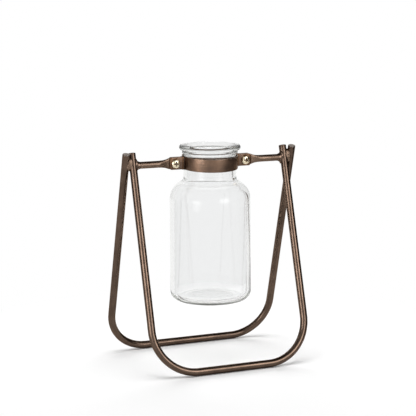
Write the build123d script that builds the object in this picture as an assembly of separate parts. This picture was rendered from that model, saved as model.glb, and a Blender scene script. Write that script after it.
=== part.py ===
from build123d import *
from math import atan2, cos, degrees, hypot, radians, sin, sqrt
import os

# A table vase: a glass bottle hung by its neck between two crossed hoops of bent rod.
# Millimetres, +Z up. The origin lies on the table under the bottle's axis. X runs along
# the two arms that carry the bottle, and the front of the vase faces -Y.

# Rod hoops
rod_diameter = 7.0
front_hoop_width = 151.4        # between the centrelines of its legs
front_bend_radius = 40.5        # on the centreline
rear_bend_radius = 37.5
foot_spread = 111.0             # between the centrelines of the two bottom bars
crossing_height = 188.0         # where the legs pass each other
leg_overrun = 10.0              # rod left standing past the crossing
root_gap = 0.2                  # between the crossing rods, filled by the weld

# Weld at each crossing, and the fillet round each arm
crossing_weld_height = 13.0
crossing_weld_depth = 7.2
crossing_weld_width = 7.0
crossing_weld_end = 0.45        # share of that size left at the weld's two ends
crossing_weld_stations = (0.0, 0.25, 0.75, 1.0)
arm_weld_rise = 3.0             # how far the fillet climbs the leg, above and below the arm
arm_weld_run = 3.5              # how far it runs along the arm
arm_weld_skin = 0.5             # weld left at the arm's sides

# Arms
arm_diameter = 6.4
arm_drop = 1.5                  # crossing down to the arms' axis
paddle_width = 12.0
paddle_thickness = 2.4
paddle_root_width = 9.8         # where the flare meets the flat
flare_length = 10.5
flare_clearance = 0.5           # from the ears to the thick part of the flare
flare_stations = (0.0, 0.35, 0.7, 1.0)
flare_rounding = 0.49           # edge radius as a share of the thickness, just short of a full round

# Collar straps
strap_width = 12.0
strap_thickness = 1.0
strap_bend_radius = 1.5         # inside of the bend between ring and ear
collar_tip = 3.4                # degrees the clamped ring leans forward about the arms' axis
neck_clearance = 0.15           # tipped ring to glass, where they come closest
screw_offset = 8.95             # ring's outside to the screw axis
ear_reach = 6.0                 # screw axis to the ear's end
ear_step = 0.3                  # how much narrower the ear is than the strap, on each edge
ear_root = 1.2                  # full-width strap kept past the bend
ear_chamfer = 1.8

# Screws and nuts
screw_diameter = 4.0
screw_hole_clearance = 0.5      # on the diameter
head_diameter = 8.2
head_height = 2.9
head_rim = 0.9                  # straight side under the dome
recess_length = 4.4
recess_width = 1.1
recess_depth = 1.5
nut_across_flats = 7.0
nut_height = 3.2
thread_gap = 0.05               # nut to screw, on the radius
screw_overhang = 1.3            # screw past the nut
screw_point_chamfer = 0.5

# Glass bottle
neck_diameter = 49.0
neck_wall = 3.6
body_diameter = 75.6
body_wall = 3.0
bottle_height = 145.9
shoulder_radius = 18.4
shoulder_drop = 51.05           # lip's top down to where the shoulder turns into the body
neck_fillet = 2.6               # neck to shoulder, outside
bore_fillet = 10.0              # and inside
heel_radius = 8.4
base_thickness = 3.6
inner_heel_radius = 5.4
push_up_diameter = 46.0
push_up_depth = 1.8
bead_reach = 1.4                # how far the bead stands out from the neck
bead_height = 3.0
groove_step = 0.4               # groove between bead and lip, outside the neck
groove_height = 0.3
lip_reach = 4.1                 # how far the lip stands out from the neck
lip_height = 5.24
seat_gap = 0.2                  # bead to the ring's top edge at the back, where it is highest

rod_radius = rod_diameter / 2
leg_rise = crossing_height - rod_radius
lean = atan2(foot_spread / 2, leg_rise)
leg_length = hypot(foot_spread / 2, leg_rise) + leg_overrun
front_leg_x = front_hoop_width / 2
rear_leg_x = front_leg_x + rod_diameter + root_gap
crossing_x = (front_leg_x + rear_leg_x) / 2
arm_height = crossing_height - arm_drop
tip = radians(collar_tip)
collar_bore = (neck_diameter + 2 * neck_clearance + strap_width * sin(tip)) / cos(tip)
collar_top = arm_height + strap_width / 2 * cos(tip) + collar_bore / 2 * sin(tip)
ear_width = strap_width - 2 * ear_step
screw_x = collar_bore / 2 + strap_thickness + screw_offset
ear_end = screw_x + ear_reach
ear_outer_face = paddle_thickness / 2 + strap_thickness
hole_diameter = screw_diameter + screw_hole_clearance


def mirrored(solid):
    """The same piece on the left side of the vase."""
    return mirror(solid, about=Plane.YZ)


def along_y(x, y, z):
    """Place for a piece whose own Z axis is to point at the back of the vase."""
    return Plane(origin=(x, y, z), x_dir=(1, 0, 0), z_dir=(0, 1, 0))


def tipped(solid):
    """A piece of the clamp, turned about the arms' axis so that its front goes down."""
    return Pos(0, 0, arm_height) * Rot(collar_tip, 0, 0) * Pos(0, 0, -arm_height) * solid


def hoop(leg_x, bend_radius, side):
    """A U of rod in a leaning plane; side is -1 for the front hoop and +1 for the rear one."""
    tilt = Rot(side * degrees(lean), 0, 0)
    upright = Plane(origin=(0, 0, 0), x_dir=(1, 0, 0), z_dir=(0, -1, 0))
    outline = FilletPolyline(
        (-leg_x, leg_length), (-leg_x, 0), (leg_x, 0), (leg_x, leg_length), radius=bend_radius
    )
    route = Pos(0, side * foot_spread / 2, rod_radius) * tilt * (upright * outline)
    section = Plane(origin=route @ 0, z_dir=route % 0) * Circle(rod_radius)
    return sweep(section, path=route)


def crossing_weld(front_hoop, rear_hoop):
    """Weld metal that fills the grooves between the two right-hand legs."""
    foot = Plane(origin=(crossing_x, 0, crossing_height - crossing_weld_height / 2))
    rings = []
    for station in crossing_weld_stations:
        size = crossing_weld_end if station in (0.0, 1.0) else 1.0
        outline = Ellipse(size * crossing_weld_width / 2, size * crossing_weld_depth / 2)
        rings.append(foot.offset(station * crossing_weld_height) * outline)
    return loft(rings) - front_hoop - rear_hoop


def arm(front_hoop):
    """The right arm: round rod, a flare where it was hammered, and a drilled flat paddle."""
    flare_end = ear_end + flare_clearance
    flare_start = flare_end + flare_length

    def cross_plane(x):
        return Plane(origin=(x, 0, arm_height), x_dir=(0, 0, 1), z_dir=(1, 0, 0))

    sections = []
    for share in flare_stations:
        width = arm_diameter + (paddle_root_width - arm_diameter) * share**3
        thickness = arm_diameter - (arm_diameter - paddle_thickness) * share**2 * (3 - 2 * share)
        outline = RectangleRounded(width, thickness, flare_rounding * thickness)
        sections.append(cross_plane(flare_start - share * flare_length) * outline)
    flare = loft(sections)
    rod_end = front_leg_x - rod_radius / 2
    rod = extrude(cross_plane(flare_start) * Circle(arm_diameter / 2), rod_end - flare_start)

    eye = Pos(screw_x, 0) * Circle(paddle_width / 2)
    root = make_face(
        Polyline(
            (screw_x, -paddle_width / 2),
            (flare_end, -paddle_root_width / 2),
            (flare_end, paddle_root_width / 2),
            (screw_x, paddle_width / 2),
            close=True,
        )
    )
    hole = Pos(screw_x, 0) * Circle(hole_diameter / 2)
    paddle = extrude(along_y(0, 0, arm_height) * (eye + root - hole), paddle_thickness / 2, both=True)
    return tipped(rod + flare + paddle) - front_hoop


def arm_weld(front_hoop, right_arm):
    """Fillet of weld between the right arm and its leg, tallest along the leg."""
    arm_radius = arm_diameter / 2
    toe_x = front_leg_x - rod_radius - arm_weld_run
    toe = Plane(origin=(toe_x, 0, arm_height), x_dir=(0, 1, 0), z_dir=(1, 0, 0))
    throat = toe.offset(arm_weld_run / 2)
    face = toe.offset(arm_weld_run)
    root = face.offset(rod_radius / 2)
    rings = [
        toe * Ellipse(arm_radius + arm_weld_skin / 2, arm_radius + arm_weld_skin / 2),
        throat * Ellipse(arm_radius + arm_weld_skin, arm_radius + arm_weld_skin + arm_weld_rise / 4),
        face * Ellipse(arm_radius + arm_weld_skin, arm_radius + arm_weld_rise),
        root * Ellipse(arm_radius + arm_weld_skin, arm_radius + arm_weld_rise),
    ]
    return loft(rings) - front_hoop - right_arm


def collar(side):
    """Half of the collar, a strap bent to half a ring with an ear at each end."""
    ring = collar_bore / 2 + strap_thickness / 2
    bend = strap_bend_radius + strap_thickness / 2
    ear_y = paddle_thickness / 2 + strap_thickness / 2
    bend_y = ear_y + bend
    bend_x = sqrt((ring + bend) ** 2 - bend_y**2)
    on_ring = ring / (ring + bend)
    middle = Vector(0, -1) + Vector(bend_x, -bend_y).normalized()
    middle = Vector(-bend_x, bend_y) + middle.normalized() * bend

    ear = Line((-ear_end, ear_y), (-bend_x, ear_y))
    corner = ThreePointArc((-bend_x, ear_y), middle, (-bend_x * on_ring, bend_y * on_ring))
    half_ring = ThreePointArc(corner @ 1, (0, ring), (bend_x * on_ring, bend_y * on_ring))
    route = ear + corner + half_ring + mirror(corner, about=Plane.YZ) + mirror(ear, about=Plane.YZ)
    start = Plane(origin=(-ear_end, ear_y, 0), x_dir=(0, 1, 0), z_dir=(1, 0, 0))
    strap = sweep(start * Rectangle(strap_thickness, strap_width), path=route)

    waste_height = strap_width
    waste_x = bend_x + ear_root
    for end in (-1, 1):
        for edge in (-1, 1):
            place = Pos(
                end * (waste_x + ear_end) / 2 + end * ear_chamfer / 2,
                ear_y,
                edge * (ear_width + waste_height) / 2,
            )
            strap -= place * Box(ear_end - waste_x + ear_chamfer, 3 * strap_thickness, waste_height)
        strap -= along_y(end * screw_x, ear_y, 0) * Cylinder(hole_diameter / 2, 3 * strap_thickness)
    corners = strap.edges().filter_by(Axis.Y).filter_by(lambda edge: abs(edge.center().X) > ear_end - 0.01)
    strap = chamfer(corners, ear_chamfer)
    return tipped(Pos(0, 0, arm_height) * (strap if side > 0 else mirror(strap, about=Plane.XZ)))


def screw():
    """Right-hand pan-head screw, its head on the front ear and its axis along Y."""
    grip = 2 * ear_outer_face + nut_height + screw_overhang
    radius = head_diameter / 2
    dome = head_height - head_rim
    outline = Polyline(
        (radius - dome, -head_height),
        (0, -head_height),
        (0, grip),
        (screw_diameter / 2 - screw_point_chamfer, grip),
        (screw_diameter / 2, grip - screw_point_chamfer),
        (screw_diameter / 2, 0),
        (radius, 0),
        (radius, -head_rim),
    )
    outline += arc_about((radius - dome, -head_rim), (radius, -head_rim), (radius - dome, -head_height))
    blank = revolve(Plane.XZ * make_face(outline), Axis.Z)
    slot = Pos(0, 0, -head_height) * Box(recess_length, recess_width, 2 * recess_depth)
    blank -= slot
    blank -= Rot(0, 0, 90) * slot
    return tipped(along_y(screw_x, -ear_outer_face, arm_height) * blank)


def nut():
    """Hexagon nut behind the right rear ear, corners turned down on its outer face."""
    flat_radius = nut_across_flats / 2
    corner_radius = flat_radius * 2 / sqrt(3)
    hexagon = extrude(RegularPolygon(flat_radius, 6, major_radius=False), nut_height)
    cap_height = nut_height + corner_radius - flat_radius
    turned = Cone(
        flat_radius + cap_height, flat_radius, cap_height, align=(Align.CENTER, Align.CENTER, Align.MIN)
    )
    turned = Pos(0, 0, nut_height - cap_height) * turned
    bore = Cylinder(screw_diameter / 2 + thread_gap, 3 * nut_height)
    return tipped(along_y(screw_x, ear_outer_face, arm_height) * ((hexagon & turned) - bore))


def arc_about(centre, start, end):
    """The short arc from start to end about a centre."""
    reach = (Vector(start) - Vector(centre)).length
    middle = (Vector(start) - Vector(centre)).normalized() + (Vector(end) - Vector(centre)).normalized()
    return ThreePointArc(start, Vector(centre) + middle.normalized() * reach, end)


def blend_circle(wall_x, wall_fillet, turn, turn_radius):
    """Centre of the fillet between a neck wall and a shoulder arc, and where it meets the arc."""
    reach = turn_radius + wall_fillet
    across = wall_x + wall_fillet - turn.X
    centre = Vector(wall_x + wall_fillet, turn.Y + sqrt(reach**2 - across**2))
    return centre, turn + (centre - turn) * (turn_radius / reach)


def bottle():
    """Glass bottle turned from one profile; it hangs plumb, its bead just above the back of the ring."""
    neck = neck_diameter / 2
    bore = neck - neck_wall
    body = body_diameter / 2
    hollow = body - body_wall

    bead = (bead_height**2 / 4 + bead_reach**2) / (2 * bead_reach)
    bead_x = neck + bead_reach - bead
    bead_z = collar_top + seat_gap + sqrt(bead**2 - (collar_bore / 2 - bead_x) ** 2)
    bead_foot = bead_z - sqrt(bead**2 - (neck - bead_x) ** 2)
    groove = neck + groove_step
    bead_head = bead_z + sqrt(bead**2 - (groove - bead_x) ** 2)

    lip = lip_height / 2
    lip_x = neck + lip_reach - lip
    lip_foot = bead_head + groove_height
    lip_z = lip_foot + lip
    top = lip_z + lip
    mouth = top - (lip_x - bore)
    base = top - bottle_height
    floor = base + base_thickness
    push_up = push_up_diameter / 2

    turn = Vector(body - shoulder_radius, top - shoulder_drop)
    hollow_turn = hollow - turn.X
    outer_centre, outer_join = blend_circle(neck, neck_fillet, turn, shoulder_radius)
    inner_centre, inner_join = blend_circle(bore, bore_fillet, turn, hollow_turn)

    profile = [
        ThreePointArc((0, base + push_up_depth), (push_up / 2, base + 0.75 * push_up_depth), (push_up, base)),
        Line((push_up, base), (body - heel_radius, base)),
        arc_about((body - heel_radius, base + heel_radius), (body - heel_radius, base), (body, base + heel_radius)),
        Line((body, base + heel_radius), (body, turn.Y)),
        arc_about(turn, (body, turn.Y), outer_join),
        arc_about(outer_centre, outer_join, (neck, outer_centre.Y)),
        Line((neck, outer_centre.Y), (neck, bead_foot)),
        arc_about((bead_x, bead_z), (neck, bead_foot), (bead_x + bead, bead_z)),
        arc_about((bead_x, bead_z), (bead_x + bead, bead_z), (groove, bead_head)),
        Line((groove, bead_head), (groove, lip_foot)),
        Line((groove, lip_foot), (lip_x, lip_foot)),
        arc_about((lip_x, lip_z), (lip_x, lip_foot), (lip_x + lip, lip_z)),
        arc_about((lip_x, lip_z), (lip_x + lip, lip_z), (lip_x, top)),
        arc_about((lip_x, mouth), (lip_x, top), (bore, mouth)),
        Line((bore, mouth), (bore, inner_centre.Y)),
        arc_about(inner_centre, (bore, inner_centre.Y), inner_join),
        arc_about(turn, inner_join, (hollow, turn.Y)),
        Line((hollow, turn.Y), (hollow, floor + inner_heel_radius)),
        arc_about(
            (hollow - inner_heel_radius, floor + inner_heel_radius),
            (hollow, floor + inner_heel_radius),
            (hollow - inner_heel_radius, floor),
        ),
        Line((hollow - inner_heel_radius, floor), (0, floor)),
        Line((0, floor), (0, base + push_up_depth)),
    ]
    return revolve(Plane.XZ * make_face(profile), Axis.Z)


front_hoop = hoop(front_leg_x, front_bend_radius, -1)
rear_hoop = hoop(rear_leg_x, rear_bend_radius, 1)
right_crossing_weld = crossing_weld(front_hoop, rear_hoop)
right_arm = arm(front_hoop)
right_arm_weld = arm_weld(front_hoop, right_arm)
right_screw = screw()
right_nut = nut()

nodes = {
    "front_hoop": front_hoop,
    "rear_hoop": rear_hoop,
    "left_crossing_weld": mirrored(right_crossing_weld),
    "right_crossing_weld": right_crossing_weld,
    "left_arm": mirrored(right_arm),
    "right_arm": right_arm,
    "left_arm_weld": mirrored(right_arm_weld),
    "right_arm_weld": right_arm_weld,
    "front_collar": collar(-1),
    "rear_collar": collar(1),
    "left_screw": Pos(-2 * screw_x, 0, 0) * right_screw,
    "right_screw": right_screw,
    "left_nut": Pos(-2 * screw_x, 0, 0) * right_nut,
    "right_nut": right_nut,
    "glass_bottle": bottle(),
}

os.makedirs("parts", exist_ok=True)
for name, solid in nodes.items():
    export_step(solid, f"parts/{name}.step")
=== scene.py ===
# %% [markdown]
# A small table vase: a clear glass bottle hangs by its neck between two crossed hoops of bent rod.
# The imported model fixes where every piece is, so this lesson only gives the pieces their finish.
# It loads that model first.

# %% Load the frame
import math

import bmesh
import bpy
import numpy as np
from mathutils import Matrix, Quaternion, Vector


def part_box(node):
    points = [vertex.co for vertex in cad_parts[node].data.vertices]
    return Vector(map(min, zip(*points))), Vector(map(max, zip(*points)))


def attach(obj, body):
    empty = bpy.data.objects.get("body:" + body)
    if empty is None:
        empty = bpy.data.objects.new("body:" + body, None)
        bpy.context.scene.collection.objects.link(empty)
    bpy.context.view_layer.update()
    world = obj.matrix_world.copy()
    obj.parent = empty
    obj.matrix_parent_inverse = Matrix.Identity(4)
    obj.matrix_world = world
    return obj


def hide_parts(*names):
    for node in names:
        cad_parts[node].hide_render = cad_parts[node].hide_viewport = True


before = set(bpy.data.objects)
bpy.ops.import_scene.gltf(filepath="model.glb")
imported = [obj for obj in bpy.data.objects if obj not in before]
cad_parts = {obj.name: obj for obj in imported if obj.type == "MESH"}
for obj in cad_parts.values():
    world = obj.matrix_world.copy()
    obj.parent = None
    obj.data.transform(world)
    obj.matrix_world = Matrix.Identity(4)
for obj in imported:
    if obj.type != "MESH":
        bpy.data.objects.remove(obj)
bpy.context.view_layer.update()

# %% [markdown]
# Blender works in metres, and a maker of wire goods thinks in millimetres, so every size is
# written as a number of MM. These are the vase's driving sizes. The lean of the hoops and the
# places of the legs follow from them, and the frame tells whether they still agree with the model.

# %% Driving sizes
MM = 0.001
ROD = 3.48 * MM
FOOT_SPREAD = 111.0 * MM
CROSSING_HEIGHT = 188.0 * MM
LEG_OVERRUN = 10.0 * MM
BAR_HEIGHT = 3.5 * MM
LEG_RISE = CROSSING_HEIGHT - BAR_HEIGHT
LEAN = math.atan2(FOOT_SPREAD / 2, LEG_RISE)
LEG = math.hypot(FOOT_SPREAD / 2, LEG_RISE) + LEG_OVERRUN
FRONT_LEG_X = 75.7 * MM
REAR_LEG_X = 82.9 * MM
ARM_HEIGHT = 186.5 * MM
COLLAR_TIP = math.radians(3.4)

low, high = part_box("front_hoop")
print("front hoop width differs from the frame by mm:", (high.x - FRONT_LEG_X - ROD) / MM)

# %% [markdown]
# Every new piece is a skin: a grid of points worked out by a formula, with a face in each cell.
# Where the grid closes on itself the same points are written twice and merged afterwards, which
# keeps the surface coordinates tidy along the seam. Merging comes before the normals are turned
# outwards, because Blender can only tell the outside of a closed shell.

# %% Grid skins
WELD_DISTANCE = 1e-7


def skin(name, points, surface, wear_and_shade=None):
    """Mesh whose faces are the cells of a grid of points, an array of rows, columns and x, y, z.

    surface holds two coordinates in metres for each point, for patterns that follow the piece.
    The last argument is a share for each point: up to 1 where a finish is rubbed through, and down
    to -1 where painted shade darkens it. Brass reads it as painted shade in a screw's recess.
    """
    rows, columns = points.shape[:2]
    index = np.arange(rows * columns).reshape(rows, columns)
    corners = [index[:-1, :-1], index[1:, :-1], index[1:, 1:], index[:-1, 1:]]
    cells = np.stack(corners, axis=-1).reshape(-1, 4)
    mesh = bpy.data.meshes.new(name)
    mesh.from_pydata(points.reshape(-1, 3).tolist(), [], cells.tolist())
    layer = mesh.uv_layers.new(name="surface")
    layer.data.foreach_set("uv", surface.reshape(-1, 2)[cells.ravel()].ravel())
    shares = np.zeros((rows, columns)) if wear_and_shade is None else np.broadcast_to(wear_and_shade, (rows, columns))
    mesh.attributes.new("wear_and_shade", "FLOAT", "POINT").data.foreach_set("value", shares.ravel())
    shell = bmesh.new()
    shell.from_mesh(mesh)
    bmesh.ops.remove_doubles(shell, verts=shell.verts, dist=WELD_DISTANCE)
    bmesh.ops.recalc_face_normals(shell, faces=shell.faces)
    shell.to_mesh(mesh)
    shell.free()
    mesh.polygons.foreach_set("use_smooth", np.ones(len(mesh.polygons), dtype=bool))
    piece = bpy.data.objects.new(name, mesh)
    bpy.context.scene.collection.objects.link(piece)
    return piece


def grid(*layers):
    """Layers that broadcast to one shape, stacked along a last axis."""
    return np.stack(np.broadcast_arrays(*layers), axis=-1)


def turns(count):
    """Angles of one whole turn as a row, the first one repeated at the end to close the seam."""
    return np.linspace(0, 2 * math.pi, count + 1)[None, :]


# %% [markdown]
# A bent rod or strap is a chain of runs. A run without a turn is straight, and a run with a turn
# is an arc, so a station's place comes from adding up what it has passed of each run. All the
# stations go through the chain at once, as one array.

# %% Paths of straight runs and arcs


def bent_path(start, heading, runs, along):
    """x, y and heading at each distance along a chain of (length, turn) runs.

    With bend k = turn / length, a step l of an arc that starts at heading a moves by
    (sin(a + k l) - sin a) / k in x and (cos a - cos(a + k l)) / k in y.
    """
    x = np.full_like(along, start[0])
    y = np.full_like(along, start[1])
    angle = np.full_like(along, heading)
    passed = 0.0
    for length, turn in runs:
        step = np.clip(along - passed, 0, length)
        if turn:
            bend = turn / length
            x += (np.sin(angle + bend * step) - np.sin(angle)) / bend
            y += (np.cos(angle) - np.cos(angle + bend * step)) / bend
            angle += bend * step
        else:
            x += step * np.cos(angle)
            y += step * np.sin(angle)
        passed += length
    return x, y, angle


def stations(runs, straight_gap, turn_gap):
    """Distances along the runs, closer together where a run turns; turn_gap is an angle."""
    marks = [np.zeros(1)]
    passed = 0.0
    for length, turn in runs:
        count = math.ceil(abs(turn) / turn_gap) if turn else math.ceil(length / straight_gap)
        marks.append(passed + length * np.arange(1, count + 1) / count)
        passed += length
    return np.concatenate(marks)


# %% [markdown]
# Shader maths reads best as plain arithmetic. The class below wraps one output socket, so that
# a + b or 1 - mask on wires adds the Math node and returns its output as a new wire. Every other
# node comes from the add method: first its settings, then the values or wires of its sockets.

# %% Wires


class Wire:
    """An output socket of a node tree, with arithmetic."""

    def __init__(self, tree, socket=None):
        self.tree = tree
        self.socket = socket

    def add(self, kind, sockets=None, output=0, **settings):
        """A new node of that kind with its settings and sockets, as its output's wire."""
        node = self.tree.nodes.new(kind)
        for name, value in settings.items():
            setattr(node, name, value)
        for key, value in (sockets or {}).items():
            if isinstance(value, Wire):
                self.tree.links.new(value.socket, node.inputs[key])
            else:
                node.inputs[key].default_value = value
        return Wire(self.tree, node.outputs[output] if len(node.outputs) else None)

    def math(self, operation, first, second):
        return self.add("ShaderNodeMath", {0: first, 1: second}, operation=operation)

    def __add__(self, other):
        return self.math("ADD", self, other)

    __radd__ = __add__

    def __mul__(self, other):
        return self.math("MULTIPLY", self, other)

    __rmul__ = __mul__

    def __sub__(self, other):
        return self.math("SUBTRACT", self, other)

    def __rsub__(self, other):
        return self.math("SUBTRACT", other, self)

    def above(self, start, end):
        """0 below start, 1 above end, and a smooth step between them."""
        return self.add(
            "ShaderNodeMapRange",
            {"Value": self, "From Min": start, "From Max": end},
            interpolation_type="SMOOTHSTEP",
        )

    def blend(self, first, second):
        """first where this wire is 0 and second where it is 1, for colours."""
        colours = {0: self, 6: first, 7: second}
        return self.add("ShaderNodeMix", colours, output=2, data_type="RGBA")


def shader_tree(block):
    """An emptied node tree of a material or world, as a wire to build from."""
    block.use_nodes = True
    block.node_tree.nodes.clear()
    return Wire(block.node_tree)


# %% [markdown]
# The camera stands where the photographer stood: to the left of the vase, a little above its
# middle, and far away behind a long lens, so that the hoops hardly taper. The direction is given
# as two angles, and a track quaternion turns the camera's own -Z axis along it. Light that is
# caught in thick glass bounces many times before it comes out, so the limits on bounces go up.

# %% Camera
CAMERA_PLACE = Vector((-0.5007, -1.1872, 0.3512))
CAMERA_TURN = math.radians(22.78)
CAMERA_DIP = math.radians(9.195)
CAMERA_ROLL = math.radians(-0.3)
CAMERA_LENS = 121.3
CAMERA_SENSOR = 36.0
BOUNCES = 32
GLOSSY_BOUNCES = 24

camera = bpy.data.objects.new("camera", bpy.data.cameras.new("camera"))
bpy.context.scene.collection.objects.link(camera)
sight = Vector((math.sin(CAMERA_TURN) * math.cos(CAMERA_DIP),
                math.cos(CAMERA_TURN) * math.cos(CAMERA_DIP),
                -math.sin(CAMERA_DIP)))
camera.location = CAMERA_PLACE
aim = sight.to_track_quat("-Z", "Y") @ Quaternion((0, 0, 1), CAMERA_ROLL)
camera.rotation_euler = aim.to_euler()
camera.data.lens = CAMERA_LENS
camera.data.sensor_width = CAMERA_SENSOR
bpy.context.scene.camera = camera
bpy.context.scene.view_settings.view_transform = "Standard"
bpy.context.scene.cycles.max_bounces = BOUNCES
bpy.context.scene.cycles.glossy_bounces = GLOSSY_BOUNCES
bpy.context.scene.cycles.transmission_bounces = BOUNCES
print("camera to vase, m:", round((CAMERA_PLACE - Vector((0, 0, ARM_HEIGHT))).length, 3))

# %% [markdown]
# The set is a white table in a white room. The world is white for the rays that look at it,
# through glass and in mirrors too, and only a soft fill for the rays that carry light, so the
# white background doesn't flood the vase. The table keeps the vase's shadow near the middle and
# turns into the same plain white further out, where its edge would show.

# %% White room and table
WHITE = (1, 1, 1, 1)
ROOM_FILL = 0.15
TABLE_HALF = 4.0
TABLE_DROP = 0.05 * MM
TABLE_WHITE = 0.90
TABLE_LIFT = 0.035
SHADOW_REACH = (0.15, 0.30)


def looking(wire):
    """1 for the rays that look at the set, 0 for those that carry light."""
    straight, mirrored, refracted = (
        wire.add("ShaderNodeLightPath", output=name)
        for name in ("Is Camera Ray", "Is Glossy Ray", "Is Transmission Ray")
    )
    return wire.math("MAXIMUM", straight, wire.math("MAXIMUM", mirrored, refracted))


def white_room():
    """White where it is looked at, and a weak fill where it lights the set."""
    world = bpy.data.worlds.new("white_room")
    bpy.context.scene.world = world
    wire = shader_tree(world)
    level = looking(wire) * (1 - ROOM_FILL) + ROOM_FILL
    glow = wire.add("ShaderNodeBackground", {"Color": WHITE, "Strength": level})
    wire.add("ShaderNodeOutputWorld", {"Surface": glow})


def table_finish():
    """White that takes shadow round the vase and is plain white further away."""
    material = bpy.data.materials.new("white_table")
    wire = shader_tree(material)
    seen = looking(wire)
    place = wire.add("ShaderNodeTexCoord", output="Object")
    away = wire.add("ShaderNodeVectorMath", {0: place}, output="Value", operation="LENGTH")
    far = away.above(*SHADOW_REACH) * seen
    paint = wire.add("ShaderNodeBsdfDiffuse", {"Color": (TABLE_WHITE,) * 3 + (1,)})
    lift = wire.add("ShaderNodeEmission", {"Color": WHITE, "Strength": seen * TABLE_LIFT})
    near_look = wire.add("ShaderNodeAddShader", {0: paint, 1: lift})
    white = wire.add("ShaderNodeEmission", {"Color": WHITE, "Strength": 1.0})
    look = wire.add("ShaderNodeMixShader", {0: far, 1: near_look, 2: white})
    wire.add("ShaderNodeOutputMaterial", {"Surface": look})
    return material


def table_top():
    """A square sheet just under the hoops: x and y run over the grid, z is constant."""
    side = np.linspace(-TABLE_HALF, TABLE_HALF, 3)
    points = grid(side[:, None], side[None, :], -TABLE_DROP)
    table = skin("table", points, points[..., :2])
    table.data.materials.append(table_finish())
    return table


white_room()
print("table:", len(table_top().data.polygons), "faces")

# %% [markdown]
# The table is lit from behind, as by the bright backdrop of a studio: a wide low lamp throws the
# short shadows that lie in front of the bars, and a second one overhead fills the middle. Both are
# only felt by the table, because mirrors and glass would show them as bright squares. A lamp's row
# gives its side and rise from the vase in degrees, its distance, width and height in metres, and
# its radiance.

# %% Lamps
AIM = Vector((0, 0, 0.13))
LAMPS = {
    "back_lamp": (180.0, 20.0, 2.2, 3.0, 1.0, 6.1),
    "top_lamp": (0.0, 84.0, 1.6, 1.3, 1.3, 4.3),
}


def towards(side, rise):
    """Direction from the vase, side degrees clockwise of the camera seen from above, rise up."""
    angle = CAMERA_TURN - math.radians(side)
    climb = math.radians(rise)
    level = math.cos(climb)
    return Vector((-math.sin(angle) * level, -math.cos(angle) * level, math.sin(climb)))


def lamp(name, side, rise, distance, width, height, radiance):
    """An area lamp that faces the vase. Its power is the radiance times pi times its area."""
    light = bpy.data.lights.new(name, "AREA")
    light.shape = "RECTANGLE"
    light.size = width
    light.size_y = height
    light.energy = radiance * math.pi * width * height
    piece = bpy.data.objects.new(name, light)
    bpy.context.scene.collection.objects.link(piece)
    piece.location = AIM + towards(side, rise) * distance
    piece.rotation_euler = (-towards(side, rise)).to_track_quat("-Z", "Y").to_euler()
    for kind in ("camera", "glossy", "transmission"):
        setattr(piece, "visible_" + kind, False)
    return piece


for name, values in LAMPS.items():
    lamp(name, *values)
print("lamps:", len(bpy.data.lights))

# %% [markdown]
# What metal and glass mirror is arranged apart from the light on the table, with pieces of the set
# that only mirrored rays see. Nothing seen through the glass comes from them, so the bottle stays
# clear from every side. Two low panels left and right of the camera make the pale patches on its
# shoulder, and one overhead makes the glints of its lip. They fade to their edges, so the patches
# are soft. Two small lamps make the streaks along the rods. Grey cards close the studio at the
# sides, and a front card, an apron on the table and a ceiling fill the metal between its streaks.
# Light linking keeps an emitter to the metal or to the glass, whichever it was set up for. A
# panel's row gives its side, rise, width, height and radiance, and a card's row gives where it
# starts and ends, in degrees from the camera, and its grey.

# %% Soft panels and grey cards
PANEL_CORE = 0.15
PANEL_DISTANCE = 0.9
PANELS = {
    "left_panel": (-37.4, 2.5, 0.65, 0.57, 2.8),
    "right_panel": (42.0, 11.0, 0.76, 0.74, 3.4),
}
TOP_PANEL = (180.0, 78.0, 1.2, 0.9, 4.5)
METAL_LAMPS = {
    "left_metal_lamp": (-41.0, 11.0, 0.75, 0.38, 0.38, 5.4),
    "right_metal_lamp": (46.0, 24.0, 0.75, 0.38, 0.38, 4.6),
}
CARD_DISTANCE = 1.6
CARDS = {
    "left_wing": (-157.0, -115.0, 0.55),
    "left_card": (-115.0, -60.0, 0.30),
    "right_card": (60.0, 130.0, 0.04),
    "right_wing": (130.0, 163.0, 0.42),
}
FRONT_SPAN = (-60.0, 60.0)
FRONT_GREY = 0.9
CARD_TOP = 1.5
CARD_STEPS = 25
FLOOR_STEPS = 33
SHEET_ROWS = 5
CEILING_GREY = 0.35
SHEET_RISE = 1 * MM
APRON_SPAN = (-120.0, 52.0)
APRON_REACH = (0.12, 1.6)
APRON_GREY = 0.95
SHADE_REACH = (0.36, 1.6)
SHADES = {
    "right_shade": (52.0, 120.0, 0.08),
}

metal_pieces = bpy.data.collections.new("metal_pieces")
glass_pieces = bpy.data.collections.new("glass_pieces")


def only_seen(piece):
    """Keeps a piece of the set out of sight and out of the light: only mirrored rays see it."""
    for kind in ("camera", "diffuse", "transmission", "volume_scatter", "shadow"):
        setattr(piece, "visible_" + kind, False)
    return piece


def light_only(pieces, emitter):
    """Lets an emitter light no other pieces than these."""
    emitter.light_linking.receiver_collection = pieces


def panel_finish(radiance):
    """Light that fades from the panel's middle to an oval that touches its sides at -1 and 1."""
    material = bpy.data.materials.new("soft_panel")
    wire = shader_tree(material)
    surface = wire.add("ShaderNodeUVMap", uv_map="surface")
    off = wire.add("ShaderNodeVectorMath", {0: surface}, output="Value", operation="LENGTH")
    fade = 1 - off.above(PANEL_CORE, 1.0)
    glow = wire.add("ShaderNodeEmission", {"Color": fade, "Strength": radiance})
    wire.add("ShaderNodeOutputMaterial", {"Surface": glow})
    return material


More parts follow.
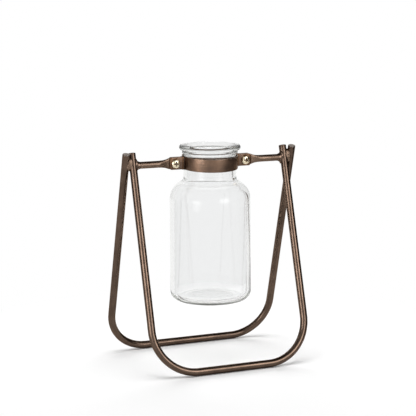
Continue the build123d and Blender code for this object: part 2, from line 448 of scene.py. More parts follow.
def soft_panel(name, side, rise, width, height, radiance):
    """A flat sheet square to its direction from the vase.

    Its points are centre + a right width / 2 + b up height / 2, with a and b from -1 to 1.
    """
    away = np.array(towards(side, rise))
    right = np.cross([0, 0, 1], away)
    right = right / np.linalg.norm(right)
    share = np.linspace(-1, 1, 3)
    across = share[:, None, None]
    up = share[None, :, None]
    centre = np.array(AIM) + away * PANEL_DISTANCE
    points = centre + across * right * width / 2 + up * np.cross(away, right) * height / 2
    panel = skin(name, points, grid(share[:, None], share[None, :]))
    panel.data.materials.append(panel_finish(radiance))
    return only_seen(panel)


def card(name, points, grey):
    """A sheet that is one even grey, however it is lit."""
    material = bpy.data.materials.new(name)
    wire = shader_tree(material)
    cloth = wire.add("ShaderNodeEmission", {"Color": (grey, grey, grey, 1), "Strength": 1.0})
    wire.add("ShaderNodeOutputMaterial", {"Surface": cloth})
    sheet = skin(name, points, points[..., :2])
    sheet.data.materials.append(material)
    return only_seen(sheet)


def curved_sheet(start, end):
    """Part of an upright drum of radius r: x = -r sin t and y = -r cos t, and z runs up."""
    angle = CAMERA_TURN - np.radians(np.linspace(start, end, CARD_STEPS))[:, None]
    rise = np.linspace(0, CARD_TOP, SHEET_ROWS)[None, :]
    return grid(-CARD_DISTANCE * np.sin(angle), -CARD_DISTANCE * np.cos(angle), rise)


def floor_sheet(start, end, reach):
    """Part of a flat ring on the table: x = -r sin t and y = -r cos t, and r runs outwards."""
    reach = np.linspace(*reach, SHEET_ROWS)[None, :]
    angle = CAMERA_TURN - np.radians(np.linspace(start, end, FLOOR_STEPS))[:, None]
    return grid(-reach * np.sin(angle), -reach * np.cos(angle), SHEET_RISE)


def ceiling_sheet():
    """A level square sheet overhead: x and y run over the grid, z is constant."""
    side = np.linspace(-CARD_DISTANCE, CARD_DISTANCE, 3)
    return grid(side[:, None], side[None, :], CARD_TOP)


for name, values in PANELS.items():
    soft_panel(name, *values)
light_only(glass_pieces, soft_panel("top_panel", *TOP_PANEL))
for name, values in METAL_LAMPS.items():
    piece = lamp(name, *values)
    piece.visible_glossy = True
    light_only(metal_pieces, piece)
for name, (start, end, grey) in CARDS.items():
    card(name, curved_sheet(start, end), grey)
light_only(metal_pieces, card("front_card", curved_sheet(*FRONT_SPAN), FRONT_GREY))
light_only(metal_pieces, card("apron", floor_sheet(*APRON_SPAN, APRON_REACH), APRON_GREY))
light_only(metal_pieces, card("ceiling", ceiling_sheet(), CEILING_GREY))
for name, (start, end, grey) in SHADES.items():
    card(name, floor_sheet(start, end, SHADE_REACH), grey)
print("panels:", len(PANELS) + 1, "cards:", len(CARDS) + len(SHADES) + 3)

# %% [markdown]
# The rods have an antique bronze finish: a dark brown coat over copper-coloured metal, rubbed by
# hand along the rod. Long thin streaks follow the rod, so they read the surface coordinates, and
# the cloudy patches of the coat read the object's own. Where the rod was cut off, a point attribute
# lets paler metal through, and where that attribute is negative, painted shade darkens the coat.
# The arms and the welds at the crossings get a rougher copy of the finish whose paler colour is
# painted light, standing in for the light that they catch.

# %% Antique bronze
BRONZE_DARK = (0.070, 0.046, 0.033, 1)
BRONZE_RUBBED = (0.125, 0.084, 0.061, 1)
# Painted light: the arms and the crossing welds get paler colours than the rods, for the light they
# catch.
ARM_LIT_DARK = (0.115, 0.076, 0.054, 1)
ARM_LIT_RUBBED = (0.190, 0.130, 0.094, 1)
CUT_METAL = (0.52, 0.48, 0.45, 1)
PAINTED_SHADE = (0.016, 0.009, 0.006, 1)
EDGE_TINT = (0.60, 0.52, 0.46, 1)
COAT = 0.08
COAT_ROUGHNESS = 0.15
CLOUDS_PER_METRE = 90
GRAINS_PER_METRE = 1500
STREAK_SHARE = 0.55
RUB_SPAN = (0.34, 0.66)
CUT_SPAN = (0.2, 0.9)
PAINTED_SHADE_SPAN = (0.1, 0.9)
CLOUD_ROUGHNESS = 0.16
RUB_POLISH = 0.06
STREAK_HEIGHT = 0.6
BRONZE_BUMP = 0.07
BRONZE_DEPTH = 0.06 * MM


def noise(wire, vector, detail=3.0, roughness=0.55):
    """Noise at one feature per unit of the vector, from 0 to 1."""
    sockets = {"Vector": vector, "Scale": 1.0, "Detail": detail, "Roughness": roughness}
    return wire.add("ShaderNodeTexNoise", sockets)


def scaled(wire, source, scale):
    """Coordinates stretched by a scale along each axis."""
    return wire.add("ShaderNodeMapping", {"Vector": source, "Scale": scale})


def bronze(name, streak_length, streak_width, dark, rubbed, rough):
    """Dark coat rubbed to brighter metal in streaks along the surface's first coordinate."""
    material = bpy.data.materials.new(name)
    wire = shader_tree(material)
    surface = wire.add("ShaderNodeUVMap", uv_map="surface")
    place = wire.add("ShaderNodeTexCoord", output="Object")
    wear_and_shade = wire.add("ShaderNodeAttribute", output="Fac", attribute_name="wear_and_shade")
    streaks = noise(wire, scaled(wire, surface, (1 / streak_length, 1 / streak_width, 1)))
    clouds = noise(wire, scaled(wire, place, (CLOUDS_PER_METRE,) * 3))
    grain = noise(wire, scaled(wire, place, (GRAINS_PER_METRE,) * 3), detail=2.0)
    rub = (streaks * STREAK_SHARE + clouds * (1 - STREAK_SHARE)).above(*RUB_SPAN)
    # Painted shade: where the point attribute is negative, the coat is darkened to nearly black.
    brown = (0 - wear_and_shade).above(*PAINTED_SHADE_SPAN).blend(rub.blend(dark, rubbed), PAINTED_SHADE)
    colour = wear_and_shade.above(*CUT_SPAN).blend(brown, CUT_METAL)
    roughness = clouds * CLOUD_ROUGHNESS + rough - rub * RUB_POLISH
    height = streaks * STREAK_HEIGHT + grain * (1 - STREAK_HEIGHT)
    relief = {"Height": height, "Strength": BRONZE_BUMP, "Distance": BRONZE_DEPTH}
    bump = wire.add("ShaderNodeBump", relief)
    look = wire.add(
        "ShaderNodeBsdfPrincipled",
        {
            "Base Color": colour,
            "Roughness": roughness,
            "Normal": bump,
            "Metallic": 1.0,
            "Specular Tint": EDGE_TINT,
            "Coat Weight": COAT,
            "Coat Roughness": COAT_ROUGHNESS,
        },
    )
    wire.add("ShaderNodeOutputMaterial", {"Surface": look})
    return material


rod_bronze = bronze(
    "rod_bronze_finish",
    streak_length=30 * MM,
    streak_width=0.7 * MM,
    dark=BRONZE_DARK,
    rubbed=BRONZE_RUBBED,
    rough=0.20,
)
lit_arm_bronze = bronze(
    "rod_bronze_finish_arms_lit",
    streak_length=12 * MM,
    streak_width=0.7 * MM,
    dark=ARM_LIT_DARK,
    rubbed=ARM_LIT_RUBBED,
    rough=0.36,
)
print("finishes:", rod_bronze.name, lit_arm_bronze.name, len(rod_bronze.node_tree.nodes), "nodes each")

# %% [markdown]
# The collar is cut from flat strap and brushed along its length, and it is a little redder than the
# rods. Its edges have lost some of the coat, and painted shade darkens its bends and the ends of
# its ears, so the same shader serves with other colours. The screws and nuts are plated pale brass,
# bright and smooth, with painted shade in the recess of the heads.

# %% Strap bronze and pale brass
STRAP_DARK = (0.078, 0.042, 0.024, 1)
STRAP_RUBBED = (0.186, 0.102, 0.057, 1)
BRASS_BRIGHT = (0.86, 0.78, 0.60, 1)
BRASS_DULL = (0.74, 0.62, 0.42, 1)
BRASS_RECESS_SHADE = (0.10, 0.07, 0.05, 1)
BRASS_CLOUDS_PER_METRE = 500
BRASS_ROUGHNESS = 0.14
BRASS_CLOUD_ROUGHNESS = 0.12
RECESS_ROUGHNESS = 0.3
RECESS_SHADE_SPAN = (0.3, 0.9)
BRASS_BUMP = 0.1
BRASS_DEPTH = 0.05 * MM

strap_bronze = bronze(
    "strap_bronze_finish",
    streak_length=14 * MM,
    streak_width=0.35 * MM,
    dark=STRAP_DARK,
    rubbed=STRAP_RUBBED,
    rough=0.36,
)


def brass():
    """Bright plating with faint clouds; the point attribute marks painted shade in a recess."""
    material = bpy.data.materials.new("pale_brass_finish")
    wire = shader_tree(material)
    place = wire.add("ShaderNodeTexCoord", output="Object")
    recess_shade = wire.add("ShaderNodeAttribute", output="Fac", attribute_name="wear_and_shade")
    clouds = noise(wire, scaled(wire, place, (BRASS_CLOUDS_PER_METRE,) * 3))
    plate = clouds.blend(BRASS_BRIGHT, BRASS_DULL)
    # Painted shade: the recess of the head is darkened.
    colour = recess_shade.above(*RECESS_SHADE_SPAN).blend(plate, BRASS_RECESS_SHADE)
    roughness = clouds * BRASS_CLOUD_ROUGHNESS + BRASS_ROUGHNESS + recess_shade * RECESS_ROUGHNESS
    relief = {"Height": clouds, "Strength": BRASS_BUMP, "Distance": BRASS_DEPTH}
    bump = wire.add("ShaderNodeBump", relief)
    sockets = {"Base Color": colour, "Roughness": roughness, "Normal": bump, "Metallic": 1.0}
    look = wire.add("ShaderNodeBsdfPrincipled", sockets)
    wire.add("ShaderNodeOutputMaterial", {"Surface": look})
    return material


pale_brass = brass()
print("finishes:", strap_bronze.name, pale_brass.name)

# %% [markdown]
# Clear glass is a Principled shader with full transmission. Thick glass takes a little light on its
# way, most where one looks along a wall, so the volume absorbs a nearly neutral grey. Light that
# only casts a shadow passes straight through, because the bottle's shadow is faint.

# %% Clear glass
GLASS_COLOUR = (0.803, 0.807, 0.789, 1)
GLASS_DENSITY = 76.0
GLASS_TINT = (0.992, 0.995, 1.0, 1)
GLASS_SHADE = (0.97, 0.97, 0.97, 1)
GLASS_IOR = 1.5
GLASS_RIPPLES_PER_METRE = (60, 60, 18)
GLASS_BUMP = 0.06
GLASS_DEPTH = 1.0 * MM


def glass():
    """Clear and faintly rippled, with a volume that absorbs and a surface that hardly shades."""
    material = bpy.data.materials.new("clear_glass_finish")
    wire = shader_tree(material)
    place = wire.add("ShaderNodeTexCoord", output="Object")
    ripple = noise(wire, scaled(wire, place, GLASS_RIPPLES_PER_METRE), detail=1.0)
    relief = {"Height": ripple, "Strength": GLASS_BUMP, "Distance": GLASS_DEPTH}
    bump = wire.add("ShaderNodeBump", relief)
    clear = wire.add(
        "ShaderNodeBsdfPrincipled",
        {
            "Base Color": GLASS_TINT,
            "Roughness": 0.0,
            "IOR": GLASS_IOR,
            "Transmission Weight": 1.0,
            "Normal": bump,
        },
    )
    shade = wire.add("ShaderNodeBsdfTransparent", {"Color": GLASS_SHADE})
    shadow_ray = wire.add("ShaderNodeLightPath", output="Is Shadow Ray")
    look = wire.add("ShaderNodeMixShader", {0: shadow_ray, 1: clear, 2: shade})
    absorbed = {"Color": GLASS_COLOUR, "Density": GLASS_DENSITY}
    tint = wire.add("ShaderNodeVolumeAbsorption", absorbed)
    wire.add("ShaderNodeOutputMaterial", {"Surface": look, "Volume": tint})
    return material


clear_glass = glass()
print("finish:", clear_glass.name, len(clear_glass.node_tree.nodes), "nodes")


def dress(piece, material, body, *nodes):
    """Gives a piece its finish and slot, its body and the CAD nodes that it stands for."""
    piece.data.materials.append(material)
    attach(piece, body)
    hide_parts(*nodes)
    pieces = glass_pieces if material is clear_glass else metal_pieces
    pieces.objects.link(piece)
    print(piece.name, len(piece.data.polygons), "faces")
    return piece


# %% [markdown]
# Each hoop is one rod bent to a U that leans in its own plane. The rod is a circle carried along
# the U, and it flattens a little on the outside of the bends, as drawn rod does. The two sawn ends
# are flat with the burr taken off, which is a quarter circle between the end and the side.

# %% Rod hoops
BURR = 0.45 * MM
BEND_FLATTENING = 0.03
FRONT_BEND = 40.5 * MM
REAR_BEND = 37.5 * MM
ROD_SIDES = 40
ROD_GAP = 5 * MM
TURN_GAP = math.radians(3)
END_SHARES = np.array([0, 0.5, 0.9])


def rod_ends(radius, burr):
    """Distances, radii and wear of the first end's rows: the flat end, then the rounded burr."""
    turn = np.linspace(0, math.pi / 2, 6)
    flat = END_SHARES * (radius - burr)
    along = np.concatenate([np.zeros_like(flat), burr * (1 - np.cos(turn))])
    radii = np.concatenate([flat, radius - burr + burr * np.sin(turn)])
    wear_and_shade = np.concatenate([np.ones_like(flat), np.cos(turn)])
    return along, radii, wear_and_shade


def rod_hoop(name, leg_x, bend, side):
    """A circle carried along leg, bend, bar, bend and leg; side is -1 in front and 1 behind.

    At a station (a, u) with heading h in the hoop's plane, the circle's point at angle t lies at
    x = a - r cos t sin h, at u + r cos t cos h up the plane and r sin t out of it, and the plane
    leans.
    """
    quarter = (bend * math.pi / 2, math.pi / 2)
    runs = [(LEG - bend, 0.0), quarter, (2 * (leg_x - bend), 0.0), quarter, (LEG - bend, 0.0)]
    total = sum(length for length, turn in runs)
    end_along, end_radii, end_wear = rod_ends(ROD, BURR)
    middle = stations(runs, ROD_GAP, TURN_GAP)[1:-1]
    along = np.concatenate([end_along, middle, total - end_along[::-1]])
    radii = np.concatenate([end_radii, np.full(len(middle), ROD), end_radii[::-1]])[:, None]
    wear_and_shade = np.concatenate([end_wear, np.zeros(len(middle)), end_wear[::-1]])[:, None]
    path = bent_path((-leg_x, LEG), -math.pi / 2, runs, along)
    across, up, heading = (part[:, None] for part in path)

    around = turns(ROD_SIDES)
    first_bend = np.clip((along - runs[0][0]) / quarter[0], 0, 1)
    last_bend = np.clip((total - along - runs[0][0]) / quarter[0], 0, 1)
    bending = (np.sin(math.pi * first_bend) ** 2 + np.sin(math.pi * last_bend) ** 2)[:, None]
    inward = radii * np.cos(around)
    inward = inward * (1 - BEND_FLATTENING * bending * (inward < 0))
    sideways = radii * np.sin(around)
    x = across - inward * np.sin(heading)
    rise = up + inward * np.cos(heading)
    y = side * (FOOT_SPREAD / 2 - rise * math.sin(LEAN)) - sideways * math.cos(LEAN)
    z = BAR_HEIGHT + rise * math.cos(LEAN) - side * sideways * math.sin(LEAN)
    return skin(name, grid(x, y, z), grid(along[:, None], around * ROD), wear_and_shade)


dress(rod_hoop("front_rod", FRONT_LEG_X, FRONT_BEND, -1), rod_bronze, "stand", "front_hoop")
dress(rod_hoop("rear_rod", REAR_LEG_X, REAR_BEND, 1), rod_bronze, "stand", "rear_hoop")

# %% [markdown]
# Where the legs cross, weld metal fills the groove between them. It is a lozenge on end, thin at
# the top and bottom, with the low ripples that a weld leaves as it sets. Only the parts between
# the rods show, so it may run on inside them. It gets its finish together with the arms.

# %% Crossing welds
CROSSING_X = (FRONT_LEG_X + REAR_LEG_X) / 2
BEAD_WIDTH = 3.4 * MM
BEAD_DEPTH = 3.6 * MM
BEAD_HEIGHT = 6.45 * MM
BEAD_RIPPLE = 0.012
BEAD_RIPPLES = 5
BEAD_ROWS = 61
BEAD_SIDES = 40
BEAD_POWER = 0.5


def squared(wave, power):
    """sign(w) |w|^p, which turns a circle into a superellipse of exponent 2 / p."""
    return np.sign(wave) * np.abs(wave) ** power


def crossing_weld(name, side):
    """A lozenge: girth (1 - |t|^3)^0.6 from foot to head, swollen and drawn in by a cosine.

    Its section is a superellipse of exponent 4, so its front is nearly flat.
    """
    share = np.linspace(-1, 1, BEAD_ROWS)[:, None]
    around = turns(BEAD_SIDES)
    girth = (1 - np.abs(share) ** 3) ** 0.6
    phase = 2 * math.pi * BEAD_RIPPLES * share + np.cos(around) ** 2
    girth = girth * (1 + BEAD_RIPPLE * np.cos(phase))
    x = side * (CROSSING_X + BEAD_WIDTH * girth * squared(np.cos(around), BEAD_POWER))
    y = BEAD_DEPTH * girth * squared(np.sin(around), BEAD_POWER)
    z = CROSSING_HEIGHT + BEAD_HEIGHT * share
    return skin(name, grid(x, y, z), grid(z, around * BEAD_DEPTH))


# %% [markdown]
# The arms are stubs of thinner rod, welded square to the front hoop's legs. Their inner ends were
# hammered flat into paddles for the screws. A superellipse makes every section of such an arm: it
# is a circle at exponent 2 and a flat bar with soft edges at 4, and the sides of the flare are
# drawn out by a cubic. The paddles, and all that is clamped to them, lean forward by a few degrees
# about the arms' axis. A Boolean with a thin cylinder drills their holes. The weld round an arm's
# root is a hollow fillet, tallest along the leg.

# %% Arms and their welds
ARM = 3.2 * MM
SCREW_X = 35.0 * MM
HOLE = 2.25 * MM
EAR_END = 41.0 * MM
FLARE_CLEARANCE = 0.5 * MM
FLARE_END = EAR_END + FLARE_CLEARANCE
FLARE_LENGTH = 10.5 * MM
PADDLE_WIDTH = 12.0 * MM
PADDLE_ROOT = 9.8 * MM
PADDLE_THICKNESS = 2.4 * MM
PADDLE_EXPONENT = 4
ARM_ROOT = FRONT_LEG_X - ROD / 2
ARM_SIDES = 48
EYE_ROWS = 18
FLAT_ROWS = 10
FLARE_ROWS = 22
ROD_ROWS = 12
EYE_THINNING = 4
DRILL_REACH = 9 * MM
DRILL_SIDES = 32
WELD_RUN = 3.4 * MM
WELD_RISE = 2.9 * MM
WELD_SKIN = 0.35 * MM
WELD_RIPPLE = 0.02
WELD_LOBES = 9
WELD_TWIST = 5
WELD_ROWS = 29


def tipped(x, y, z):
    """Grid of points turned by the tip angle a about the arms' axis, which lies at height h.

    y' = y cos a - (z - h) sin a and z' = h + y sin a + (z - h) cos a.
    """
    rise = z - ARM_HEIGHT
    front = y * math.cos(COLLAR_TIP) - rise * math.sin(COLLAR_TIP)
    return grid(x, front, ARM_HEIGHT + y * math.sin(COLLAR_TIP) + rise * math.cos(COLLAR_TIP))


def on_screw(side, radius, y, around):
    """Points about a screw's axis at x = s and height h: s + r cos t and h + r sin t, tipped."""
    x = side * SCREW_X + radius * np.cos(around)
    return tipped(x, y, ARM_HEIGHT + radius * np.sin(around))


def arm(name, side):
    """Superellipses |z / a|^n + |y / b|^n = 1 carried along x, with changing a, b and n."""
    eye = SCREW_X - PADDLE_WIDTH / 2 * np.cos(np.linspace(0, math.pi / 2, EYE_ROWS))
    flat = np.linspace(SCREW_X, FLARE_END, FLAT_ROWS)[1:]
    flare = np.linspace(FLARE_END, FLARE_END + FLARE_LENGTH, FLARE_ROWS)[1:]
    rod = np.linspace(FLARE_END + FLARE_LENGTH, ARM_ROOT, ROD_ROWS)[1:]
    x = np.concatenate([eye, flat, flare, rod, rod[-1:]])[:, None]
    share = np.clip((FLARE_END + FLARE_LENGTH - x) / FLARE_LENGTH, 0, 1)
    flared = 2 * ARM + (PADDLE_ROOT - 2 * ARM) * share**3
    on_flat = np.clip((FLARE_END - x) / (FLARE_END - SCREW_X), 0, 1)
    past_screw = np.minimum(x - SCREW_X, 0) / (PADDLE_WIDTH / 2)
    in_eye = np.sqrt(np.clip(1 - past_screw**2, 0, 1))
    width = (flared + (PADDLE_WIDTH - PADDLE_ROOT) * on_flat) * in_eye
    thickness = 2 * ARM - (2 * ARM - PADDLE_THICKNESS) * share**2 * (3 - 2 * share)
    thickness = thickness * np.minimum(1, in_eye * EYE_THINNING) ** 0.5
    width[-1] = 0
    thickness[-1] = 0
    power = 2 / (2 + (PADDLE_EXPONENT - 2) * share)
    around = turns(ARM_SIDES)
    z = ARM_HEIGHT + width / 2 * squared(np.cos(around), power)
    y = thickness / 2 * squared(np.sin(around), power)
    return skin(name, tipped(side * x, y, z), grid(x, around * ARM))


def drill(piece, side):
    """Cuts the screw's hole through a piece along y, and keeps the cut mesh."""
    y = np.array([-1, -1, 1, 1])[:, None] * DRILL_REACH
    radius = np.array([0, 1, 1, 0])[:, None] * HOLE
    points = on_screw(side, radius, y, turns(DRILL_SIDES))
    cutter = skin("drill", points, points[..., :2])
    cut = piece.modifiers.new("hole", "BOOLEAN")
    cut.object = cutter
    cut.operation = "DIFFERENCE"
    cut.solver = "EXACT"
    done = piece.evaluated_get(bpy.context.evaluated_depsgraph_get())
    piece.data = bpy.data.meshes.new_from_object(done)
    piece.modifiers.clear()
    bpy.data.objects.remove(cutter)
    return piece


def arm_weld(name, side):
    """Rings from the toe on the arm to the leg: height grows by the hollow 1 - (1 - t^2)^0.5.

    t reaches 1 at the leg's surface, and the last rings run on into the leg at that height.
    """
    reach = np.linspace(0, WELD_RUN + ROD / 2, WELD_ROWS)[:, None]
    share = np.minimum(reach / WELD_RUN, 1)
    around = turns(ARM_SIDES)
    hollow = 1 - np.sqrt(1 - share**2)
    ripple = 1 + WELD_RIPPLE * share * np.cos(WELD_LOBES * around + WELD_TWIST * share)
    inside = np.ones_like(share)
    inside[[0, -1]] = 0
    skin_rise = WELD_SKIN * np.sqrt(share)
    depth = (ARM + skin_rise) * ripple * inside
    height = (ARM + skin_rise + (WELD_RISE - WELD_SKIN) * hollow) * ripple * inside
    x = FRONT_LEG_X - ROD - WELD_RUN + reach
    y = depth * np.sin(around)
    z = ARM_HEIGHT + height * np.cos(around)
    return skin(name, grid(side * x, y, z), grid(around * ARM, x))


for label, side in (("left", -1), ("right", 1)):
    bead = crossing_weld(label + "_crossing_bead", side)
    dress(bead, lit_arm_bronze, "stand", label + "_crossing_weld")
    dress(drill(arm(label + "_arm_rod", side), side), lit_arm_bronze, "stand", label + "_arm")
    dress(arm_weld(label + "_arm_bead", side), rod_bronze, "stand", label + "_arm_weld")

# %% [markdown]
# The collar is two straps bent alike, one in front of the neck and one behind. Each is a flat bar
# with softened edges, carried along ear, bend, half ring, bend and ear. The bar narrows at the
# ears and loses its corners at their ends, so its half width changes along the way. It is bent
# level and then tipped with the paddles, as it leans on the vase.

# %% Collar straps
RING = 25.55 * MM
STRAP_THICKNESS = 1.0 * MM
STRAP_WIDTH = 12.0 * MM
STRAP_EDGE = 0.3 * MM
EAR_WIDTH = 11.4 * MM
EAR_CHAMFER = 1.8 * MM
EAR_BEND = 2.0 * MM
EAR_Y = PADDLE_THICKNESS / 2 + STRAP_THICKNESS / 2
EAR_ROOT = 1.2 * MM
EAR_STEP_REACH = 0.4 * MM
STRAP_GAP = 0.8 * MM
CORNER_ROWS = 6
END_FACE = 0.9
CREASE_SHADE_REACH = 2.6 * MM
END_SHADE = 0.7
EDGE_REACH = 0.7 * MM
EDGE_WEAR = 0.55


def strap_section(half_width, edge):
    """A flat bar's outline: a quarter circle at each corner, as offsets across and out."""
    corner = np.repeat([[1, 1], [-1, 1], [-1, -1], [1, -1]], CORNER_ROWS, axis=0)
    quarters = np.arange(4)[:, None] * math.pi / 2
    turn = np.linspace(0, math.pi / 2, CORNER_ROWS)[None, :] + quarters
    across = corner[:, 0] * (half_width - edge) + edge * np.cos(turn).ravel()
    out = corner[:, 1] * (STRAP_THICKNESS / 2 - edge) + edge * np.sin(turn).ravel()
    close = [*range(len(corner)), 0]
    return across[:, close], np.broadcast_to(out, across.shape)[:, close]


def collar_strap(name, side):
    """The bar's section carried along ear, bend, half ring, bend and ear; side is -1 in front.

    At a station (x, y) with heading h, an offset o out of the bar moves a point by -o sin h in x
    and o cos h in y, and the offset across is its height over the arms' axis.
    """
    bend_y = EAR_Y + EAR_BEND
    bend_x = math.sqrt((RING + EAR_BEND) ** 2 - bend_y**2)
    turn = math.pi / 2 - math.asin(bend_y / (RING + EAR_BEND))
    ear = (EAR_END - bend_x, 0.0)
    corner = (EAR_BEND * turn, turn)
    runs = [ear, corner, (RING * 2 * turn, -2 * turn), corner, ear]
    total = sum(length for length, turn in runs)
    middle = stations(runs, STRAP_GAP, TURN_GAP)
    along = np.concatenate([middle[:1], middle[:1], middle, middle[-1:], middle[-1:]])
    path = bent_path((-EAR_END, EAR_Y), 0.0, runs, along)
    x, y, heading = (part[:, None] for part in path)
    from_end = np.minimum(along, total - along)
    root = ear[0] - EAR_ROOT
    half_width = np.interp(
        from_end,
        [0, EAR_CHAMFER, root - EAR_STEP_REACH, root + EAR_STEP_REACH],
        [EAR_WIDTH / 2 - EAR_CHAMFER, EAR_WIDTH / 2, EAR_WIDTH / 2, STRAP_WIDTH / 2],
    )[:, None]
    across, out = strap_section(half_width, STRAP_EDGE)
    size = np.ones_like(along)[:, None]
    size[[0, -1]] = 0
    size[[1, -2]] = END_FACE
    across = across * size
    out = out * size
    strap_x = x - out * np.sin(heading)
    strap_y = side * (y + out * np.cos(heading))
    points = tipped(strap_x, strap_y, ARM_HEIGHT + across)
    edge = np.clip((np.abs(across) - half_width + EDGE_REACH) / EDGE_REACH, 0, 1)
    # Painted shade: the bends and the ends of the ears get a negative share, which darkens the coat
    # there.
    in_bend = np.clip(1 - np.abs(from_end - ear[0] - corner[0] / 2) / CREASE_SHADE_REACH, 0, 1)
    at_end = END_SHADE * np.clip(1 - from_end / CREASE_SHADE_REACH, 0, 1)
    crease_shade = np.maximum(in_bend, at_end)[:, None]
    wear_and_shade = EDGE_WEAR * edge * (1 - crease_shade) - crease_shade
    return skin(name, points, grid(along[:, None], across), wear_and_shade)


for label, side in (("front", -1), ("rear", 1)):
    strap = collar_strap(label + "_strap", side)
    for end in (-1, 1):
        drill(strap, end)
    dress(strap, strap_bronze, "stand", label + "_collar")

# %% [markdown]
# A pan-head screw on each side goes through ear, paddle and ear. The head is a dome with a cross
# recess, which is easiest as a height over a polar grid: the dome's height less the depth of the
# cross. The same rows then run down the rim and along the shank, where a cosine that climbs one
# pitch a turn cuts the thread.

# %% Screws
HEAD = 4.1 * MM
HEAD_HEIGHT = 2.9 * MM
HEAD_RIM = 0.9 * MM
SHANK = 2.0 * MM
THREAD_PITCH = 0.7 * MM
THREAD_DEPTH = 0.3 * MM
RECESS_REACH = 2.2 * MM
RECESS_WIDTH = 0.6 * MM
RECESS_DEPTH = 1.5 * MM
RECESS_TAPER = 0.45
RECESS_WALL = 0.3 * MM
DOME_POWER = 2.4
DOME_ROOT = 2.2
POINT_LENGTH = 0.8 * MM
POINT_CHAMFER = 0.5 * MM
SCREW_OVERHANG = 1.3 * MM
SCREW_SIDES = 96
DOME_ROWS = 46
ROWS_PER_PITCH = 8
EAR_FACE = PADDLE_THICKNESS / 2 + STRAP_THICKNESS
NUT_HEIGHT = 3.2 * MM
SCREW_END = EAR_FACE + NUT_HEIGHT + SCREW_OVERHANG


def cross_recess(radius, around):
    """Depth of the cross and where it is: two slots with steep walls, shallower outwards."""
    right = np.abs(radius * np.cos(around))
    up = np.abs(radius * np.sin(around))
    one = np.maximum(right - RECESS_REACH, up - RECESS_WIDTH)
    other = np.maximum(right - RECESS_WIDTH, up - RECESS_REACH)
    inside = np.clip(0.5 - np.minimum(one, other) / RECESS_WALL, 0, 1)
    return RECESS_DEPTH * inside * (1 - RECESS_TAPER * radius / RECESS_REACH), inside


def screw(name, side):
    """Rows down the dome, the rim and the shank of a turned screw, with its axis along y.

    The dome is h (1 - (r / R)^p)^(1 / q), and the thread cuts (1 + cos(2 pi y / pitch - t)) / 2 of
    its depth out of the shank.
    """
    around = turns(SCREW_SIDES)
    top = np.linspace(0, HEAD, DOME_ROWS)[:, None]
    dome = (HEAD_HEIGHT - HEAD_RIM) * (1 - (top / HEAD) ** DOME_POWER) ** (1 / DOME_ROOT)
    # The recess's mask is kept for the painted shade in it.
    depth, recess_shade = cross_recess(top, around)
    head_y = -EAR_FACE - HEAD_RIM - dome + depth
    shank_y = np.arange(-EAR_FACE, SCREW_END, THREAD_PITCH / ROWS_PER_PITCH)[:, None]
    thread = 0.5 + 0.5 * np.cos(2 * math.pi * shank_y / THREAD_PITCH - around)
    thread = THREAD_DEPTH * thread * np.clip((shank_y - EAR_FACE) / THREAD_PITCH, 0, 1)
    point = np.clip((SCREW_END - shank_y) / POINT_LENGTH, 0, 1)
    shank = SHANK - thread - POINT_CHAMFER * (1 - point)
    rim = np.full_like(around, HEAD)
    end = np.zeros_like(around)
    radius = np.concatenate([np.broadcast_to(top, head_y.shape), rim, shank, end])
    along_shank = np.broadcast_to(shank_y, shank.shape)
    y = np.concatenate([head_y, end - EAR_FACE, along_shank, end + shank_y[-1]])
    wear_and_shade = np.zeros_like(y)
    wear_and_shade[: len(top)] = recess_shade
    points = on_screw(side, radius, y, around)
    return skin(name, points, grid(radius, around * HEAD), wear_and_shade)


# %% [markdown]
# Behind the rear ears sit hexagon nuts, hidden from the front. A hexagon in polar form is the
# distance to its flat divided by the cosine of the angle from that flat, and the turned chamfer
# is a cone that the radius may not pass.

# %% Nuts
NUT_FLAT = 3.5 * MM
NUT_BORE = 2.05 * MM
NUT_SLOPE = math.tan(math.radians(60))
NUT_SIDES = 72
NUT_RISE = np.array([0, 0, 0.2, 0.5, 0.8, 0.88, 0.92, 0.96, 1, 1, 1, 0])[:, None] * NUT_HEIGHT
NUT_REACH = np.array([0, 1, 1, 1, 1, 1, 1, 1, 1, 0.3, 0, 0])[:, None]


def nut(name, side):
    """Rows round a nut's section: bore, inner face, flats up to the chamfer, outer face, bore.

    The radius goes from the bore to the lesser of the hexagon f / cos t and the chamfer's cone.
    """
    around = turns(NUT_SIDES)
    sixth = math.pi / 3
    hexagon = NUT_FLAT / np.cos((around + sixth / 2) % sixth - sixth / 2)
    cone = NUT_FLAT + NUT_SLOPE * (NUT_HEIGHT - NUT_RISE)
    radius = NUT_BORE + (np.minimum(hexagon, cone) - NUT_BORE) * NUT_REACH
    points = on_screw(side, radius, EAR_FACE + NUT_RISE, around)
    return skin(name, points, grid(radius, around * NUT_FLAT))


for label, side in (("left", -1), ("right", 1)):
    dress(screw(label + "_pan_screw", side), pale_brass, "stand", label + "_screw")
    dress(nut(label + "_hex_nut", side), pale_brass, "stand", label + "_nut")

# %% [markdown]
# The bottle hangs by the bead under its lip. It is turned from one profile that runs from the
# middle of the base up the outside, over the rolled lip and down the inside to the floor, so that
# outside and inside are one closed shell and light bends at both. Blown glass is never even, so the
# inside of the body swells and thins by a tenth of a millimetre or two, which bends what is seen
# through it.

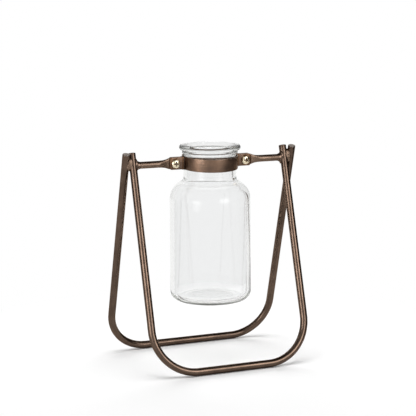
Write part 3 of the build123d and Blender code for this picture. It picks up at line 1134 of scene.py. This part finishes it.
# %% Glass bottle
NECK = 24.5 * MM
BORE = 20.9 * MM
BODY = 37.79 * MM
HOLLOW = 34.8 * MM
LIP_TOP = 202.48 * MM
BASE = 56.59 * MM
BASE_THICKNESS = 3.6 * MM
HEEL = 8.4 * MM
INNER_HEEL = 5.4 * MM
PUSH_UP = (23.0 * MM, 1.2 * MM)
SHOULDER = 18.4 * MM
SHOULDER_DROP = 51.05 * MM
NECK_FILLET = 4.6 * MM
BORE_FILLET = 10.0 * MM
BEAD = 1.5 * MM
BEAD_PLACE = (24.4 * MM, 195.53 * MM)
GROOVE = 24.9 * MM
LIP = 2.61 * MM
MOUTH_ROLL = 2.0 * MM
LIP_PLACE = (25.98 * MM, 199.87 * MM)
BOTTLE_SIDES = 144
WAVE_HEIGHT = 40 * MM
WAVES = (
    (0.10 * MM, 2, 1.3, 0.4),
    (0.07 * MM, 3, -2.1, 2.0),
    (0.04 * MM, 7, 0.6, 1.1),
    (0.05 * MM, 0, 3.3, 0.7),
)


def arc(centre, radius, start, end, count):
    """Points of an arc from one angle to another, in degrees."""
    angle = np.radians(np.linspace(start, end, count))
    return grid(centre[0] + radius * np.cos(angle), centre[1] + radius * np.sin(angle))


def line(start, end, count):
    """Points of a straight line, with both its ends."""
    return np.linspace(start, end, count)


def neck_blend(wall, fillet, turn, radius):
    """Centre of the fillet between a neck wall and the shoulder's arc, and the angle between them.

    It lies a fillet from the wall, and the radius and a fillet from the middle of the arc.
    """
    x = wall + fillet
    z = turn[1] + math.sqrt((radius + fillet) ** 2 - (x - turn[0]) ** 2)
    return (x, z), math.degrees(math.atan2(z - turn[1], x - turn[0]))


def bottle_profile():
    """Radius and height along the outside from the base to the lip, then down the inside."""
    turn = (BODY - SHOULDER, LIP_TOP - SHOULDER_DROP)
    outer, outer_angle = neck_blend(NECK, NECK_FILLET, turn, SHOULDER)
    inner, inner_angle = neck_blend(BORE, BORE_FILLET, turn, HOLLOW - turn[0])
    floor = BASE + BASE_THICKNESS
    share = np.linspace(0, 1, 12)[:, None]
    dish = share * [PUSH_UP[0], 0] + (1 - share**2) * [0, PUSH_UP[1]] + [0, BASE]
    bead_foot = -math.degrees(math.acos((NECK - BEAD_PLACE[0]) / BEAD))
    bead_head = math.degrees(math.acos((GROOVE - BEAD_PLACE[0]) / BEAD))
    bead_start = BEAD_PLACE[1] + BEAD * math.sin(math.radians(bead_foot))
    mouth = LIP_TOP - MOUTH_ROLL
    outside = [
        dish,
        line((PUSH_UP[0], BASE), (BODY - HEEL, BASE), count=6)[1:],
        arc((BODY - HEEL, BASE + HEEL), HEEL, -90, 0, count=22)[1:],
        line((BODY, BASE + HEEL), (BODY, turn[1]), count=60)[1:],
        arc(turn, SHOULDER, 0, outer_angle, count=32)[1:],
        arc(outer, NECK_FILLET, outer_angle + 180, 180, count=10)[1:],
        line((NECK, outer[1]), (NECK, bead_start), count=10)[1:],
        arc(BEAD_PLACE, BEAD, bead_foot, bead_head, count=20)[1:],
        arc(LIP_PLACE, LIP, -90, 90, count=30),
    ]
    inside = [
        line((LIP_PLACE[0], LIP_TOP), (BORE + MOUTH_ROLL, LIP_TOP), count=4)[1:],
        arc((BORE + MOUTH_ROLL, mouth), MOUTH_ROLL, 90, 180, count=18)[1:],
        line((BORE, mouth), (BORE, inner[1]), count=12)[1:],
        arc(inner, BORE_FILLET, 180, inner_angle + 180, count=14)[1:],
        arc(turn, HOLLOW - turn[0], inner_angle, 0, count=28)[1:],
        line((HOLLOW, turn[1]), (HOLLOW, floor + INNER_HEEL), count=60)[1:],
        arc((HOLLOW - INNER_HEEL, floor + INNER_HEEL), INNER_HEEL, 0, -90, count=22)[1:],
        line((HOLLOW - INNER_HEEL, floor), (PUSH_UP[0], floor), count=4)[1:],
        dish[-2::-1] + [0, BASE_THICKNESS],
    ]
    outside = np.concatenate(outside)
    return np.concatenate([outside, *inside]), len(outside)


def unevenness(height, around):
    """Slow waves over the body: the sum of a sin(n t + m z / h + p) over the rows a, n, m, p."""
    rise = height / WAVE_HEIGHT
    return sum(
        size * np.sin(lobes * around + pace * rise + phase)
        for size, lobes, pace, phase in WAVES
    )


def bottle(name):
    """The profile turned about z: x = r cos t and y = r sin t, with r of the inner wall uneven."""
    profile, outside_rows = bottle_profile()
    radius = profile[:, :1]
    height = profile[:, 1:]
    around = turns(BOTTLE_SIDES)
    is_inside = (np.arange(len(profile)) >= outside_rows)[:, None]
    on_wall = np.clip((radius - BORE) / (HOLLOW - BORE), 0, 1) ** 2 * is_inside
    radius = radius + unevenness(height, around) * on_wall
    points = grid(radius * np.cos(around), radius * np.sin(around), height)
    return skin(name, points, grid(height, around * BODY))


dress(bottle("bottle_glass"), clear_glass, "bottle", "glass_bottle")
